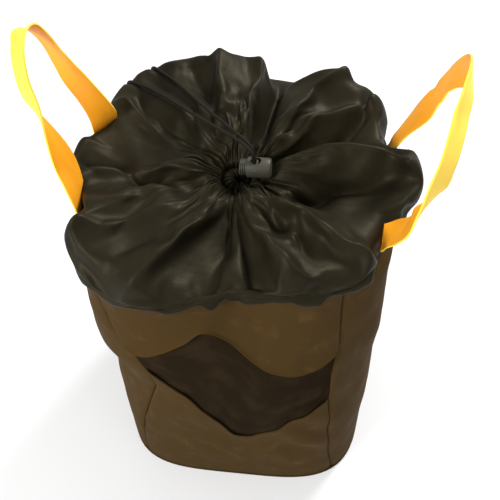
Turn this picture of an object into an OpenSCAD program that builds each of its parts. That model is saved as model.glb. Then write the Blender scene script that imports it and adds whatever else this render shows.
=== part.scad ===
// Soft rope storage bag: four sewn walls with a mesh window, a gathered closure
// skirt with a drawcord and cord lock, and two webbing carrying handles.
// Origin: centre of the base, on the floor. X right, Y back, Z up. Millimetres.

/* [Bag] */
// Height of the rim above the floor
rim_h = 365; // [320:5:440]
// Outer radius of the round rim
rim_r = 142; // [125:1:165]
// Half the width of the squarish base
base_half = 134; // [115:1:150]
// Squareness of the base outline, where 2 is a circle
base_square = 3.5; // [2.5:0.1:5]
// How far the rim leans to the right of the base
lean_x = 8; // [-10:1:12]
// How far the rim leans behind the base
lean_y = -18; // [-25:1:10]
// Thickness of the foam-backed wall fabric
wall_t = 2; // [1.5:0.1:3]
// Half the angle that the front and back panels span
panel_half_angle = 42; // [38:1:48]
// Clearance between sewn pieces
gap = 0.3; // [0.2:0.05:0.4]

/* [Window] */
// Height of the window's upper edge at the corner seams
window_top = 252; // [232:2:280]
// Height of the window's lower edge at the left corner seam
window_bottom_left = 215; // [150:5:220]
// Height of the window's lower edge at the right corner seam
window_bottom_right = 165; // [150:5:220]
// Rise and fall of the upper edge, which waves
window_top_wave = 54; // [0:1:60]
// Depth of the bow in the lower edge
window_bottom_bow = 76; // [0:1:80]

/* [Base] */
// Thickness of the base fabric
base_t = 2; // [1.5:0.1:3]
// Thickness of the stiff board in the bottom
board_t = 3; // [2:0.5:5]
// Height of the tape that binds the base seam
base_tape_h = 16; // [10:1:25]

/* [Rim] */
// Height of the band at the top where the bag is a true circle
band_h = 40; // [36:1:60]
// Width of the tape that binds the rim seam
tape_w = 25; // [18:1:32]
// Thickness of the binding tapes
tape_t = 1.4; // [1:0.1:2]
// Diameter of the springy hoop that holds the mouth round
hoop_d = 5; // [3:0.5:6]
// Thickness of the sleeve that the hoop runs in
sleeve_t = 1.2; // [0.8:0.1:1.6]

/* [Closure skirt] */
// Thickness of the closure fabric
skirt_t = 1.2; // [1:0.1:1.6]
// Height of the puffed lobes above the rim
lobe_h = 36; // [20:1:45]
// How far the lobes swell out past the rim
lobe_out = 28; // [10:1:34]
// Share of the lobes' height left in the valleys between them
valley_share = 0.3; // [0.2:0.05:0.6]
// Radius of the throat ring, from its centre to the drawcord
throat_r = 12; // [11:0.5:16]
// Height of the throat ring above the rim
throat_rise = 5; // [2:1:12]

/* [Drawcord and lock] */
// Diameter of the drawcord
cord_d = 3; // [2.5:0.1:3.6]
// Thickness of the casing that the drawcord runs in
casing_t = 1.6; // [1:0.1:2]
// Outer diameter of the lock's barrel
barrel_d = 18; // [16:0.5:22]
// Length of the barrel
barrel_l = 21; // [20:0.5:28]
// Wall of the barrel
barrel_wall = 1.6; // [1.2:0.1:2]
// Travel of the lock's button
button_travel = 4; // [3.4:0.1:4.6]
// Radial running clearance of the button in the barrel
button_fit = 0.15; // [0.1:0.05:0.3]
// Wire diameter of the lock's spring
wire_d = 0.8; // [0.6:0.1:1]
// How far the button's head stands out of the barrel
button_head = 6.5; // [6:0.5:10]
// How far the lock slides up the straight part of the cord
lock_travel = 6; // [3:1:6]

/* [Handles] */
// Width of the handle webbing
web_w = 25; // [20:1:30]
// Thickness of the handle webbing
web_t = 1.6; // [1.2:0.1:2]
// Half the angle between a handle's two ends
handle_half_angle = 21; // [18:0.5:24]
// Height of the left handle above its hinge line
left_handle_h = 150; // [110:2:160]
// Height of the right handle above its hinge line
right_handle_h = 148; // [110:2:160]
// How far the left handle leans out
left_lean = 10; // [0:1:22]
// How far the right handle leans out
right_lean = 19; // [0:1:22]

/* [Hidden] */

rim_centre = [lean_x, lean_y];
FRONT = -90;
RIGHT = 0;
BACK = 90;
LEFT = 180;

// The outline at a height: a squarish superellipse at the floor that rounds off to a
// circle below the rim band. rise runs from 0 at the floor to 1 at the band.
function rise(z) = min(1, max(0, z) / (rim_h - band_h));
function mix(a, b, share) = a + (b - a) * share;
function squareness(z) = mix(base_square, 2, rise(z));
function outline_r(angle, z) =
    let (n = squareness(z))
    mix(base_half, rim_r, rise(z))
        * pow(pow(abs(cos(angle)), n) + pow(abs(sin(angle)), n), -1 / n);
function wall_point(angle, z, offset) =
    let (r = outline_r(angle, z) + offset)
    [lean_x * rise(z) + r * cos(angle), lean_y * rise(z) + r * sin(angle), z];

// Two triangles for the four corners of a patch, given in order round it.
function patch(a, b, c, d) = [[a, b, c], [a, c, d]];
// The patches between the rows of a grid of points, columns by rows, numbered from first.
function sheet_faces(columns, rows, first, flip) = [
    for (row = [0:rows - 2], column = [0:columns - 2])
        let (a = first + row * columns + column, b = a + 1, c = b + columns, d = a + columns)
        each flip ? patch(d, c, b, a) : patch(a, b, c, d)
];

// A closed solid between an outer and an inner sheet of the same columns and rows.
module two_sheets(outer, inner, columns, rows) {
    n = columns * rows;
    function side(from, step, count, flip) = [
        for (i = [0:count - 2])
            let (a = from + i * step, b = a + step)
            each flip ? patch(a, a + n, b + n, b) : patch(b, b + n, a + n, a)
    ];
    polyhedron(
        points = concat(outer, inner),
        faces = concat(
            sheet_faces(columns, rows, 0, true),
            sheet_faces(columns, rows, n, false),
            side(0, 1, columns, false),
            side(n - columns, 1, columns, true),
            side(0, columns, rows, true),
            side(columns - 1, columns, rows, false)
        ),
        convexity = 6
    );
}

// Part of the wall between two angles. low and high give its edges' heights as
// functions of u, which runs from -1 to 1 across the piece.
module wall_piece(from, to, low, high, outside = 0, thick = wall_t, columns = 23, rows = 9) {
    function sheet(offset) = [
        for (row = [0:rows - 1], column = [0:columns - 1])
            let (share = column / (columns - 1), u = 2 * share - 1)
            wall_point(mix(from, to, share), mix(low(u), high(u), row / (rows - 1)), offset)
    ];
    two_sheets(sheet(outside), sheet(outside - thick), columns, rows);
}

// Angle that a width of cloth spans at the wall, to keep sewn pieces a gap apart.
function span_angle(width) = width / rim_r * 180 / PI;
seam_angle = span_angle(gap / 2);

// ---- Base ----

wall_foot = base_t + gap;
// The tapes inside stand off a little further, because their facets differ from the wall's.
tape_gap = 2.5 * gap;
board_top = wall_foot + board_t;

module base_outline(offset) {
    polygon([for (angle = [0:5:355]) let (p = wall_point(angle, 0, offset)) [p.x, p.y]]);
}

module base_panel() {
    color("saddlebrown") linear_extrude(base_t) base_outline(0);
}

module base_board() {
    color("dimgray") translate([0, 0, wall_foot]) linear_extrude(board_t)
        base_outline(-wall_t - 2 * gap - 1);
}

module base_seam_tape() {
    color("black") for (centre = [FRONT, RIGHT, BACK, LEFT])
        wall_piece(centre - 45 + seam_angle, centre + 45 - seam_angle,
            function (u) board_top + gap, function (u) board_top + gap + base_tape_h,
            -wall_t - tape_gap, tape_t, 23, 3);
}

// A flat webbing loop sewn to the board's middle, for tying the rope's end to.
tie_loop_w = 20;
tie_loop_l = 46;
tie_loop_h = 22;
module rope_tie_loop() {
    color("goldenrod") translate([0, 0, board_top + gap])
        rotate([90, 0, 0]) linear_extrude(tie_loop_w, center = true) {
            difference() {
                tie_loop_arch(tie_loop_l / 2, tie_loop_h);
                tie_loop_arch(tie_loop_l / 2 - web_t, tie_loop_h - web_t);
            }
            for (side = [-1, 1]) translate([side * (tie_loop_l / 2 + 5), web_t / 2])
                square([14, web_t], center = true);
        }
}
module tie_loop_arch(half, height) {
    polygon([for (angle = [0:15:180]) [half * cos(angle), height * sin(angle)]]);
}

// ---- Walls ----

front_from = FRONT - panel_half_angle + seam_angle;
front_to = FRONT + panel_half_angle - seam_angle;

// The window's edges: the upper one waves, and the lower one slopes and bows down.
function window_high(u) = window_top + window_top_wave * (1 - u * u) * cos(150 * u + 30);
function window_low(u) =
    mix(window_bottom_left, window_bottom_right, (u + 1) / 2) - window_bottom_bow * (1 - u * u);

module front_upper_panel() {
    color("saddlebrown") wall_piece(front_from, front_to,
        function (u) window_high(u) + gap / 2, function (u) rim_h);
}
module mesh_window() {
    color("black") wall_piece(front_from, front_to,
        function (u) window_low(u) + gap / 2, function (u) window_high(u) - gap / 2,
        -gap, wall_t - 2 * gap);
}
module front_lower_panel() {
    color("saddlebrown") wall_piece(front_from, front_to,
        function (u) wall_foot, function (u) window_low(u) - gap / 2);
}

module plain_panel(centre, half_angle) {
    wall_piece(centre - half_angle + seam_angle, centre + half_angle - seam_angle,
        function (u) wall_foot, function (u) rim_h);
}
module left_side_panel() { color("saddlebrown") plain_panel(LEFT, 90 - panel_half_angle); }
module right_side_panel() { color("saddlebrown") plain_panel(RIGHT, 90 - panel_half_angle); }
module back_panel() { color("saddlebrown") plain_panel(BACK, panel_half_angle); }

corner_tape_w = 14;
module corner_seam_tapes() {
    half_angle = span_angle(corner_tape_w / 2);
    low = board_top + base_tape_h + 2 * gap;
    high = rim_h - band_h;
    color("black") for (centre = [FRONT, BACK], side = [-1, 1])
        wall_piece(centre + side * panel_half_angle - half_angle,
            centre + side * panel_half_angle + half_angle,
            function (u) low, function (u) high, -wall_t - tape_gap, tape_t, 4, 9);
}

// ---- Rim: layers from the wall inwards, each a gap apart ----

web_out_r = rim_r - wall_t - gap;
skirt_out_r = web_out_r - web_t - gap;
tape_out_r = skirt_out_r - skirt_t - gap;
sleeve_r = hoop_d / 2 + gap + sleeve_t;
hoop_ring_r = tape_out_r - tape_t - gap - sleeve_r;
seam_depth = 28;
hoop_z = rim_h - seam_depth / 2 - 2;

module at_rim(z = 0) { translate([lean_x, lean_y, z]) children(); }

module rim_tape() {
    color("black") at_rim(rim_h - seam_depth) rotate_extrude($fn = 96)
        translate([tape_out_r - tape_t, 0]) square([tape_t, tape_w]);
}
module hoop_sleeve() {
    color("black") at_rim(hoop_z) rotate_extrude($fn = 96) translate([hoop_ring_r, 0])
        difference() {
            circle(sleeve_r, $fn = 32);
            circle(sleeve_r - sleeve_t, $fn = 32);
        }
}
module rim_hoop() {
    color("lightgray") at_rim(hoop_z) rotate_extrude($fn = 96)
        translate([hoop_ring_r, 0]) circle(hoop_d / 2, $fn = 32);
}

// ---- Closure skirt ----

left_handle_angle = 182;
right_handle_angle = -2;
web_angles = [for (centre = [left_handle_angle, right_handle_angle], side = [-1, 1])
    centre + side * handle_half_angle];
// Angles of the valleys between the puffed lobes, once round the rim.
valleys = [
    left_handle_angle + handle_half_angle - 360, -108, -66,
    right_handle_angle - handle_half_angle, right_handle_angle + handle_half_angle,
    70, 108, left_handle_angle - handle_half_angle, left_handle_angle + handle_half_angle
];
throat_centre = [lean_x, lean_y + 2];
throat_z = rim_h + throat_rise;
casing_r = cord_d / 2 + gap + casing_t;
skirt_end_r = throat_r + casing_r + gap;

// 0 in a valley and 1 on the crest of a lobe.
function lobe(angle) =
    let (
        a = angle < valleys[0] ? angle + 360 : angle,
        i = max([for (k = [0:len(valleys) - 2]) valleys[k] <= a ? k : 0]),
        share = (a - valleys[i]) / (valleys[i + 1] - valleys[i])
    )
    pow(max(0, sin(180 * share)), 0.8);
// 1 at a handle's webbing, falling to 0 a few degrees to either side of it.
function angle_between(a, b) = abs((a - b + 900) % 360 - 180);
web_clear_angle = span_angle(web_w / 2) + 7;
function at_web(angle) =
    max([for (a = web_angles) max(0, min(1, (web_clear_angle - angle_between(angle, a)) / 3))]);

// share runs from 0 at the top of the rim seam to 1 at the throat. The lobes swell out
// over the wall's top edge, except beside the handles' webbing.
function skirt_point(angle, share, thick) =
    let (
        free = 1 - at_web(angle),
        high = lobe(angle),
        swell = free * high * lobe_out * sin(min(180, 520 * share)),
        puff = lobe_h * mix(valley_share, 1, high) * mix(0.4, 1, free)
            * sin(180 * pow(share, 0.8)),
        rim_xy = rim_centre + (skirt_out_r - thick) * [cos(angle), sin(angle)],
        end_xy = throat_centre + skirt_end_r * [cos(angle), sin(angle)],
        out_xy = swell * [cos(angle), sin(angle)]
    )
    [each (mix(rim_xy, end_xy, pow(share, 1.25)) + out_xy),
        mix(rim_h + gap, throat_z, share) + puff - thick * min(1, share * 6)];

skirt_columns = 120;
skirt_shares = [0, 0.03, 0.08, 0.15, 0.24, 0.35, 0.48, 0.62, 0.76, 0.88, 1];
skirt_angles = [for (i = [0:skirt_columns - 1]) 360 * i / skirt_columns - 180];
module closure_skirt() {
    function sheet(thick) =
        [for (share = skirt_shares, angle = skirt_angles) skirt_point(angle, share, thick)];
    color("darkslategray")
        ring_of_sheets(sheet(0), sheet(skirt_t), skirt_columns, len(skirt_shares));
}

// The skirt's sewn edge, which hangs upright inside the rim and meets the skirt at the top.
module skirt_hem() {
    function sheet(thick) = [
        for (z = [rim_h - seam_depth, rim_h], angle = skirt_angles)
            [each (rim_centre + (skirt_out_r - thick) * [cos(angle), sin(angle)]), z]
    ];
    color("darkslategray") ring_of_sheets(sheet(0), sheet(skirt_t), skirt_columns, 2);
}

// As two_sheets, for sheets that close on themselves.
module ring_of_sheets(outer, inner, columns, rows) {
    n = columns * rows;
    top = n - columns;
    function next(column) = (column + 1) % columns;
    polyhedron(
        points = concat(outer, inner),
        faces = [
            for (row = [0:rows - 2], c = [0:columns - 1])
                let (a = row * columns + c, b = row * columns + next(c))
                each concat(patch(a + columns, b + columns, b, a),
                    patch(n + a, n + b, n + b + columns, n + a + columns)),
            for (c = [0:columns - 1])
                let (d = next(c)) each concat(patch(c, d, n + d, n + c),
                    patch(n + top + c, n + top + d, top + d, top + c))
        ],
        convexity = 10
    );
}

// ---- Swept pieces ----

// A closed solid through rings of points that all have the same number of corners.
module swept(rings) {
    n = len(rings);
    sides = len(rings[0]);
    polyhedron(
        points = [for (ring = rings) each ring],
        faces = [
            [for (k = [0:sides - 1]) k],
            [for (k = [sides - 1:-1:0]) (n - 1) * sides + k],
            for (i = [0:n - 2], k = [0:sides - 1])
                let (a = i * sides + k, b = i * sides + (k + 1) % sides)
                each patch(a, a + sides, b + sides, b)
        ],
        convexity = 10
    );
}

function unit(v) = v / norm(v);
function along(points, i) =
    unit(points[min(i + 1, len(points) - 1)] - points[max(i - 1, 0)]);
// A direction square to the line, carried along it without twisting.
function carried(points, i, side) =
    i == len(points) ? [] :
    let (t = along(points, i), flat = unit(side - (side * t) * t))
    concat([flat], carried(points, i + 1, flat));
module tube(points, d, sides = 8) {
    first = along(points, 0);
    flats = carried(points, 0, cross(first, abs(first.z) > 0.9 ? [1, 0, 0] : [0, 0, 1]));
    swept([
        for (i = [0:len(points) - 1])
            let (a = flats[i], b = cross(along(points, i), a))
            [for (k = [0:sides - 1])
                let (angle = 360 * k / sides) points[i] + d / 2 * (cos(angle) * a + sin(angle) * b)]
    ]);
}

// ---- Drawcord: a ring in its casing, and two strands that leave it through the lock ----

strand_y = cord_d / 2 + 0.2;
// Half the angle of the casing's opening, from which both strands curve up to the lock.
turn_r = 8.5;
exit_half_angle = asin(strand_y / norm([throat_r, turn_r])) + atan(turn_r / throat_r);
strand_x = throat_r * cos(exit_half_angle) + turn_r * sin(exit_half_angle);

module at_throat() { translate([each throat_centre, throat_z]) children(); }
module throat_ring() {
    at_throat() rotate([0, 0, exit_half_angle])
        rotate_extrude(angle = 360 - 2 * exit_half_angle, $fn = 64)
            translate([throat_r, 0]) children();
}
module drawcord_casing() {
    color("darkslategray") throat_ring() difference() {
        circle(casing_r, $fn = 32);
        circle(casing_r - casing_t, $fn = 32);
    }
}
module drawcord_ring() {
    color("black") throat_ring() circle(cord_d / 2, $fn = 32);
}

// The quarter turn from the ring's end up to the lock, for the back (1) or front (-1) strand.
function turn_up(side) = [
    for (angle = [0:22.5:90])
        let (run = turn_r * sin(angle), end = exit_half_angle)
        [throat_r * cos(end) + run * sin(end), side * (throat_r * sin(end) - run * cos(end)),
            turn_r * (1 - cos(angle))]
];
// The straight stretch that the lock slides on ends just above the top of its travel.
lock_clear = 0.5;
straight_end = turn_r + lock_clear + barrel_d + lock_travel + lock_clear;
function straight(side) = [
    for (z = [mix(turn_r, straight_end, 0.5), straight_end]) [strand_x, side * strand_y, z]
];
// From there the strands run over the skirt and hang down the wall at the back left.
// The points are from the throat's centre.
back_route = [
    [13.6, 2.7, 37], [11, 5.5, 39.5], [6, 10.5, 40.5], [-2, 18.5, 40], [-14, 31, 38.5],
    [-30, 47, 37], [-46, 64, 35.5], [-58, 77, 34.5], [-70, 90, 32.5], [-82, 102, 30.5],
    [-92, 112.5, 27.5], [-98, 119, 23.5], [-100.5, 121.5, 16], [-100.5, 121.5, 0],
    [-100, 121, -50], [-100.5, 121.5, -100], [-103, 123, -150], [-109, 125, -200],
    [-114, 126, -234]
];
front_route = [
    [13.4, -0.6, 37], [10.5, 1.7, 39.5], [5, 6, 40.5], [-4, 13, 40], [-16, 22, 39],
    [-32, 34, 37.5], [-48, 45.5, 36.5], [-62, 56, 36], [-75, 65.5, 35.5], [-88, 75.5, 33],
    [-100, 84.5, 30.5], [-110, 92, 27.5], [-117, 97.5, 23], [-120, 100, 15],
    [-120, 100, 0], [-119, 102, -50], [-117.5, 106, -100], [-116.5, 112, -150],
    [-116.5, 119, -200], [-116.5, 123.5, -234]
];
module strand(side, route) {
    color("black") at_throat() tube(concat(turn_up(side), straight(side), route), cord_d);
}
module drawcord_back_strand() { strand(1, back_route); }
module drawcord_front_strand() { strand(-1, front_route); }
// The knot that ties the two ends together, with a short tail of each below it.
knot_d = 11;
tail_l = 16;
tail_spread = 12;
knot_overlap = 0.8;
module drawcord_knot() {
    ends = (back_route[len(back_route) - 1] + front_route[len(front_route) - 1]) / 2;
    color("black") at_throat() translate(ends - [0, 0, knot_d / 2 - knot_overlap])
        rotate([0, 0, 135]) {
            sphere(d = knot_d, $fn = 32);
            for (side = [-1, 1]) rotate([180 + side * tail_spread, 0, 0])
                cylinder(d = cord_d, h = knot_d / 2 + tail_l, $fn = 24);
        }
}

// ---- Cord lock: along X, with the button on the left and the cord hole upright ----

hole_d = 2 * (norm([button_travel / 2, strand_y]) + cord_d / 2 + gap);
lock_centre = [strand_x + button_travel / 2, 0, turn_r + lock_clear + barrel_d / 2];
barrel_left = -(hole_d / 2 + 3.5);
bore_end = barrel_left + barrel_l - barrel_wall;
button_d = barrel_d - 2 * barrel_wall - 2 * button_fit;
button_end = -button_travel + hole_d / 2 + 1.5;
spring_d = 9;

module at_lock() { at_throat() translate(lock_centre) children(); }
module along_x(from, to, d) {
    translate([from, 0, 0]) rotate([0, 90, 0]) cylinder(d = d, h = to - from, $fn = 64);
}
module cord_hole(x) {
    translate([x, 0, -barrel_d]) cylinder(d = hole_d, h = 2 * barrel_d, $fn = 64);
}
module lock_barrel() {
    color("dimgray") at_lock() difference() {
        along_x(barrel_left, barrel_left + barrel_l, barrel_d);
        along_x(barrel_left - 1, bore_end, barrel_d - 2 * barrel_wall);
        cord_hole(0);
    }
}
module lock_button() {
    groove = 0.8;
    head_left = barrel_left - button_head;
    color("dimgray") at_lock() difference() {
        along_x(head_left, button_end, button_d);
        for (x = [head_left + 1.2, head_left + 2.8]) difference() {
            along_x(x, x + groove, button_d + 1);
            along_x(x - 1, x + 2, button_d - 2 * groove);
        }
        cord_hole(-button_travel);
    }
}
spring_turns = 4;
module lock_spring() {
    from = button_end + wire_d / 2 + gap / 2;
    to = bore_end - wire_d / 2 - gap / 2;
    color("silver") at_lock() tube([
        for (i = [0:16 * spring_turns])
            let (angle = 360 * i / 16, x = mix(from, to, i / (16 * spring_turns)))
            [x, spring_d / 2 * cos(angle), spring_d / 2 * sin(angle)]
    ], wire_d, 6);
}

// ---- Handles ----

web_mid_r = web_out_r - web_t / 2;
// The loop's rounded foot turns this far above its sewn ends.
hinge_gap = 0.7;
hinge_z = rim_h + 7;
hinge_x = web_mid_r * cos(handle_half_angle);
leg_y = web_mid_r * sin(handle_half_angle);

// The sewn end of a handle's webbing, for the back (1) or front (-1) leg, in the handle's
// own frame. It follows the round rim between the wall and the skirt, and straightens
// out above it to meet the loop along the hinge line.
end_columns = 6;
sewn_low = rim_h - seam_depth + 2;
module sewn_end(side) {
    function sheet(r, top_x) = [
        for (z = [sewn_low, rim_h], i = [0:end_columns - 1])
            let (angle = side * handle_half_angle + span_angle(web_w) * (i / (end_columns - 1) - 0.5))
            [r * cos(angle), r * sin(angle), z],
        for (i = [0:end_columns - 1])
            [top_x, side * leg_y + web_w * (i / (end_columns - 1) - 0.5), hinge_z - web_t / 2 - hinge_gap]
    ];
    two_sheets(sheet(web_out_r, hinge_x + web_t / 2),
        sheet(web_out_r - web_t, hinge_x - web_t / 2), end_columns, 3);
}
module at_handle(angle) {
    translate([lean_x, lean_y, 0]) rotate([0, 0, angle]) children();
}

// Half of the twist happens by the middle of each leg, so that the webbing stands flat on
// the rim and lies flat in the hand.
function smooth(x) = let (s = max(0, min(1, x))) s * s * (3 - 2 * s);
handle_steps = 36;
function handle_line(h, i) =
    let (angle = 90 * (1 - cos(180 * i / handle_steps)))
    [0, -leg_y * sign(cos(angle)) * pow(abs(cos(angle)), 0.8), h * pow(sin(angle), 0.6)];
// A cross-section of the webbing at a point of its line, which runs along t.
function web_section(point, t, twist, thick_share) =
    let (
        wide = web_w / 2 * (cos(twist) * cross([1, 0, 0], t) + sin(twist) * [1, 0, 0]),
        thick = thick_share * web_t / 2 * unit(cross(t, wide))
    )
    [point + wide + thick, point - wide + thick, point - wide - thick, point + wide - thick];
// The rounded foot below the hinge line, for the front (-1) or back (1) leg.
function foot(side) = [
    for (angle = side < 0 ? [75, 50, 25] : [25, 50, 75])
        web_section([0, side * leg_y, -web_t / 2 * sin(angle)], [0, 0, -side], 0, cos(angle))
];
module handle_web(h, lean) {
    line = [for (i = [0:handle_steps]) handle_line(h, i)];
    rotate([0, lean, 0]) swept(concat(
        foot(-1),
        [for (i = [0:handle_steps])
            let (
                t = i == 0 ? [0, 0, 1] : i == handle_steps ? [0, 0, -1] : along(line, i),
                twist = 90 * smooth((line[i].z / h - 0.1) / 0.6)
            )
            web_section(line[i], t, twist, 1)],
        foot(1)
    ));
}
module left_handle_web() {
    color("gold") at_handle(left_handle_angle) translate([hinge_x, 0, hinge_z])
        handle_web(left_handle_h, left_lean);
}
module right_handle_web() {
    color("gold") at_handle(right_handle_angle) translate([hinge_x, 0, hinge_z])
        handle_web(right_handle_h, right_lean);
}
module left_handle_front_end() { color("gold") at_handle(left_handle_angle) sewn_end(1); }
module left_handle_back_end() { color("gold") at_handle(left_handle_angle) sewn_end(-1); }
module right_handle_front_end() { color("gold") at_handle(right_handle_angle) sewn_end(-1); }
module right_handle_back_end() { color("gold") at_handle(right_handle_angle) sewn_end(1); }

base_panel();
base_board();
base_seam_tape();
rope_tie_loop();
front_upper_panel();
mesh_window();
front_lower_panel();
left_side_panel();
right_side_panel();
back_panel();
corner_seam_tapes();
rim_tape();
hoop_sleeve();
rim_hoop();
skirt_hem();
closure_skirt();
drawcord_casing();
drawcord_ring();
drawcord_back_strand();
drawcord_front_strand();
drawcord_knot();
lock_barrel();
lock_button();
lock_spring();
left_handle_web();
left_handle_front_end();
left_handle_back_end();
right_handle_web();
right_handle_front_end();
right_handle_back_end();
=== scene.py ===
from math import atan2, cos, degrees, exp, hypot, pi, radians, sin, sqrt

import bmesh
import bpy
from mathutils import Matrix, Vector, kdtree, noise


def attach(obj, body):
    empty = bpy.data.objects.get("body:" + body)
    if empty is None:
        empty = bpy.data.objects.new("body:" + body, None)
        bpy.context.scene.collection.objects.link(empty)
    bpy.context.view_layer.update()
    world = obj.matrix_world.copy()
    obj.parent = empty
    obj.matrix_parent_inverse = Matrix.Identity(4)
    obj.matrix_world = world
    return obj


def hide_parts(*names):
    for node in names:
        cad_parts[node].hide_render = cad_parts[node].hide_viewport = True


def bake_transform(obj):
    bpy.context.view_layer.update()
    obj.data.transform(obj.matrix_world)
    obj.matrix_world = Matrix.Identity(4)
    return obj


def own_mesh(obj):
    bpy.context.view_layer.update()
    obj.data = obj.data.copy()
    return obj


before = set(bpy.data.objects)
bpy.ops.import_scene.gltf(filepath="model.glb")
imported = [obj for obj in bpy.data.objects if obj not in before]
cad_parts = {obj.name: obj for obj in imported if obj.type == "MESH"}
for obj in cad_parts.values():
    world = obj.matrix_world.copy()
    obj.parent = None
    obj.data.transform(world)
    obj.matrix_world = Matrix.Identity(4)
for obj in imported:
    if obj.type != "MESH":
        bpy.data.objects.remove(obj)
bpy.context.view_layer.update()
scene = bpy.context.scene
scene.view_settings.view_transform = "Standard"

# ---- Camera ----
# Held a little to the right of the front and well above the bag, looking down on the
# gathered mouth, and tilted a few degrees.
view_azimuth, view_elevation, view_roll = radians(10.5), radians(52), radians(-4.4)
view_target, view_distance = Vector((0.0009, 0.0515, 0.1825)), 0.8987
away = Vector((
    sin(view_azimuth) * cos(view_elevation),
    -cos(view_azimuth) * cos(view_elevation),
    sin(view_elevation),
))
level = (-away).cross(Vector((0, 0, 1))).normalized()
upright = level.cross(-away)
camera = bpy.data.objects.new("camera", bpy.data.cameras.new("camera"))
camera.data.lens = 57.6
camera.matrix_world = Matrix((
    level * cos(view_roll) + upright * sin(view_roll),
    upright * cos(view_roll) - level * sin(view_roll),
    away,
)).transposed().to_4x4()
camera.location = view_target + away * view_distance
scene.collection.objects.link(camera)
scene.camera = camera

# ---- Drawcord strands ----
# 3 mm braided polyester cord. Both ends leave the casing beside each other, turn up through
# the lock, lie over the gathered cloth and hang down the back left to their knot.


def sRGB(red, green, blue):
    """A colour of 0 to 255 as the shaders take it."""
    return tuple(
        c / 255 / 12.92 if c < 10 else ((c / 255 + 0.055) / 1.055) ** 2.4 for c in (red, green, blue)
    ) + (1,)


class Shade:
    """A socket of a material. Sums and products of it add their Math nodes."""

    def __init__(self, tree, socket=None):
        self.tree, self.socket = tree, socket

    def node(self, kind, settings=None, inputs=None, out=0):
        made = self.tree.nodes.new("ShaderNode" + kind)
        for name, value in (settings or {}).items():
            setattr(made, name, value)
        for name, value in (inputs or {}).items():
            if isinstance(value, Shade):
                self.tree.links.new(value.socket, made.inputs[name])
            else:
                made.inputs[name].default_value = value
        return Shade(self.tree, made.outputs[out])

    def math(self, operation, *values):
        return self.node("Math", {"operation": operation}, dict(enumerate(values)))

    def __add__(self, other):
        return self.math("ADD", self, other)

    def __sub__(self, other):
        return self.math("SUBTRACT", self, other)

    def __rsub__(self, other):
        return self.math("SUBTRACT", other, self)

    def __mul__(self, other):
        return self.math("MULTIPLY", self, other)

    __radd__, __rmul__ = __add__, __mul__

    def within(self, low, high):
        """0 below low and 1 above high."""
        return self.node("MapRange", {"clamp": True}, {0: self, 1: low, 2: high})

    def colours(self, first, second):
        """first where this is 0, and second where it is 1."""
        return self.node("Mix", {"data_type": "RGBA"}, {0: self, 6: first, 7: second}, 2)


def flat_cloth(start):
    """The two directions of a piece's flat cloth, and their point, in metres."""
    point = start.node("UVMap", {"uv_map": "cut"})
    split = {axis: point.node("SeparateXYZ", {}, {0: point}, axis) for axis in (0, 1)}
    return point, split[0], split[1]


def speckle(point, scale, detail=3, stretch=(1, 1, 1)):
    """Noise from about 0.3 to 0.7, longer along the directions that are stretched."""
    placed = point.node("Mapping", {}, {0: point, 3: tuple(scale / s for s in stretch)})
    return placed.node("TexNoise", {}, {"Vector": placed, "Scale": 1, "Detail": detail})


def finish(name, rough, specular=0.5, sheen=0, sheen_tint=None, sheen_rough=0.5):
    """A new material's shader and the start of its shader maths."""
    made = bpy.data.materials.new(name)
    made.use_nodes = True
    shader = made.node_tree.nodes["Principled BSDF"]
    for socket, value in (
        ("Roughness", rough), ("Specular IOR Level", specular), ("Sheen Weight", sheen),
        ("Sheen Roughness", sheen_rough), ("Sheen Tint", sheen_tint or (1, 1, 1, 1)),
    ):
        shader.inputs[socket].default_value = value
    return made, shader, Shade(made.node_tree)


def coat_with(shader, colour, rough=None, bump=None, strength=0.5, depth=0.0003):
    """Links what changes over the surface to the shader."""
    links = colour.tree.links
    links.new(colour.socket, shader.inputs["Base Color"])
    if rough:
        links.new(rough.socket, shader.inputs["Roughness"])
    if bump:
        raised = colour.node("Bump", {}, {"Strength": strength, "Distance": depth, "Height": bump})
        links.new(raised.socket, shader.inputs["Normal"])


def piece_of(name, bm, *materials):
    """A new object in the scene with the mesh that bm holds."""
    mesh = bpy.data.meshes.new(name)
    bm.to_mesh(mesh)
    bm.free()
    for material in materials:
        mesh.materials.append(material)
    obj = bpy.data.objects.new(name, mesh)
    scene.collection.objects.link(obj)
    return obj


def lay(name, across, along, place, flat, material, ring=False, caps=False):
    """Lays a grid of cloth over place(u, w), which is in millimetres. u and w run from 0 to 1,
    and the UV map is the flat cloth in metres. A ring's left and right edges are joined."""
    bm = bmesh.new()
    bmesh.ops.create_grid(bm, x_segments=across, y_segments=along, size=0.5)
    cut = bm.loops.layers.uv.new("cut")
    for face in bm.faces:
        face.smooth = True
        for loop in face.loops:
            loop[cut].uv = (
                (loop.vert.co.x + 0.5) * flat[0], (loop.vert.co.y + 0.5) * flat[1])
    for vert in bm.verts:
        vert.co = Vector(place(vert.co.x + 0.5, vert.co.y + 0.5)) * 0.001
    if ring:
        bmesh.ops.remove_doubles(bm, verts=bm.verts, dist=1e-6)
    if caps:
        bmesh.ops.holes_fill(bm, edges=[e for e in bm.edges if e.is_boundary], sides=0)
    return piece_of(name, bm, material)


def between(before, a, b, after, t):
    """The value at t, from 0 at a to 1 at b, of a smooth line through four values."""
    return 0.5 * (2 * a + (b - before) * t + (2 * before - 5 * a + 4 * b - after) * t * t
                  + (3 * a - before - 3 * b + after) * t ** 3)


def neighbours(points, i):
    """The point before i, i, the next one and the one after it, without going past the ends."""
    return points[max(i - 1, 0)], points[i], points[i + 1], points[min(i + 2, len(points) - 1)]


def through(points, step=2.0):
    """A smooth line through points, with a point about every step."""
    points = [Vector(p) for p in points]
    line = []
    for i in range(len(points) - 1):
        count = max(1, round((points[i + 1] - points[i]).length / step))
        line += [between(*neighbours(points, i), k / count) for k in range(count)]
    return line + [points[-1]]


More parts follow.
